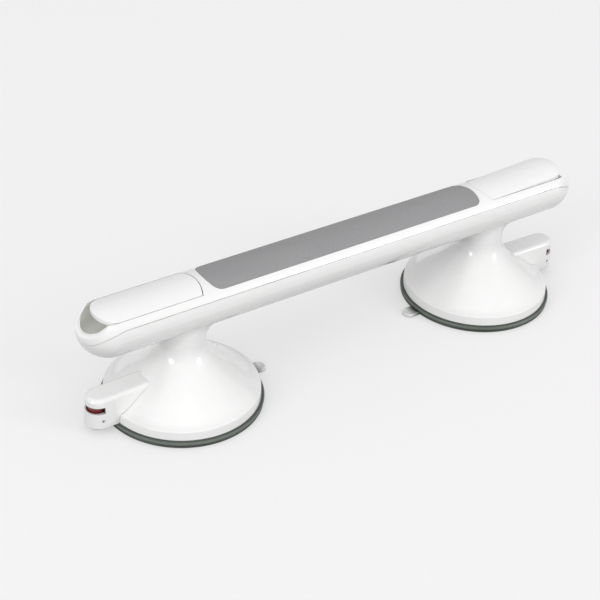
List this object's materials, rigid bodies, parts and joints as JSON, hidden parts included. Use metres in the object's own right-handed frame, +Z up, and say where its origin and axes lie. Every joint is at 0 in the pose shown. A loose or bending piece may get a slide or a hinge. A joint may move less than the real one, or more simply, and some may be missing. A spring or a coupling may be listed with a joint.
{
  "type": "suction grab bar",
  "caption": "Handrail bar on suction feet with flip-up clamp levers, a soft grip insert and a vacuum warning indicator beside each foot.",
  "frame": {"origin": "on the surface that the suction discs stand on, midway between the two feet", "axes": "+X along the bar, +Y across it, +Z up from the surface to the bar"},
  "size_m": [0.4336, 0.119, 0.101],
  "materials": {
    "shell": "glossy",
    "lever": "satin gloss",
    "grip": "matte",
    "scoop": "satin",
    "disc": "satin",
    "steel": "brushed",
    "spring": "bright",
    "works": "matte",
    "indicator": "satin",
    "warning": "glossy"
  },
  "bodies": {
    "root": {"upper_shell": "shell", "lower_shell": "shell", "grip_insert": "grip", "grip_screws": "steel", "bay_screws": "steel", "finger_scoop_left": "scoop", "finger_scoop_right": "scoop", "rod_guide_left": "works", "rod_guide_right": "works", "cam_plate_left": "steel", "cam_plate_right": "steel", "return_spring_left": "spring", "return_spring_right": "spring", "suction_disc_left": "disc", "suction_disc_right": "disc", "indicator_spring_left": "spring", "indicator_spring_right": "spring", "indicator_pin_left": "steel", "indicator_pin_right": "steel"},
    "rod_left": {"pull_rod_left": "steel", "disc_insert_left": "works"},
    "lever_left": {"lever_left": "lever", "lever_pin_left": "steel"},
    "indicator_left": {"indicator_plunger_left": "indicator", "indicator_band_left": "warning"},
    "rod_right": {"pull_rod_right": "steel", "disc_insert_right": "works"},
    "lever_right": {"lever_right": "lever", "lever_pin_right": "steel"},
    "indicator_right": {"indicator_plunger_right": "indicator", "indicator_band_right": "warning"}
  },
  "joints": [
    {"name": "rod_left_slide", "type": "slide", "parent": "root", "child": "rod_left", "axis": [0, 0, 1], "range_m": [-0.005, 0], "deforming": ["suction_disc_left", "return_spring_left"]},
    {"name": "lever_left_hinge", "type": "hinge", "parent": "rod_left", "child": "lever_left", "pos_m": [-0.1363, 0, 0.0865], "axis": [0, 1, 0], "range_deg": [0, 78]},
    {"name": "indicator_left_slide", "type": "slide", "parent": "root", "child": "indicator_left", "axis": [0, 0, 1], "range_m": [0, 0.003], "stiffness_N_per_m": 60, "springref_m": -0.002, "deforming": ["indicator_spring_left"]},
    {"name": "rod_right_slide", "type": "slide", "parent": "root", "child": "rod_right", "axis": [0, 0, 1], "range_m": [-0.00484, 0.00016], "deforming": ["suction_disc_right", "return_spring_right"]},
    {"name": "lever_right_hinge", "type": "hinge", "parent": "rod_right", "child": "lever_right", "pos_m": [0.1363, 0, 0.0865], "axis": [0, -1, 0], "range_deg": [-2.5, 75.5]},
    {"name": "indicator_right_slide", "type": "slide", "parent": "root", "child": "indicator_right", "axis": [0, 0, 1], "range_m": [0, 0.003], "stiffness_N_per_m": 60, "springref_m": -0.002, "deforming": ["indicator_spring_right"]}
  ],
  "couplings": [
    {"joint": "rod_left_slide", "follows": "lever_left_hinge", "m_per_rad": -0.0036728},
    {"joint": "rod_right_slide", "follows": "lever_right_hinge", "m_per_rad": -0.0036728}
  ]
}
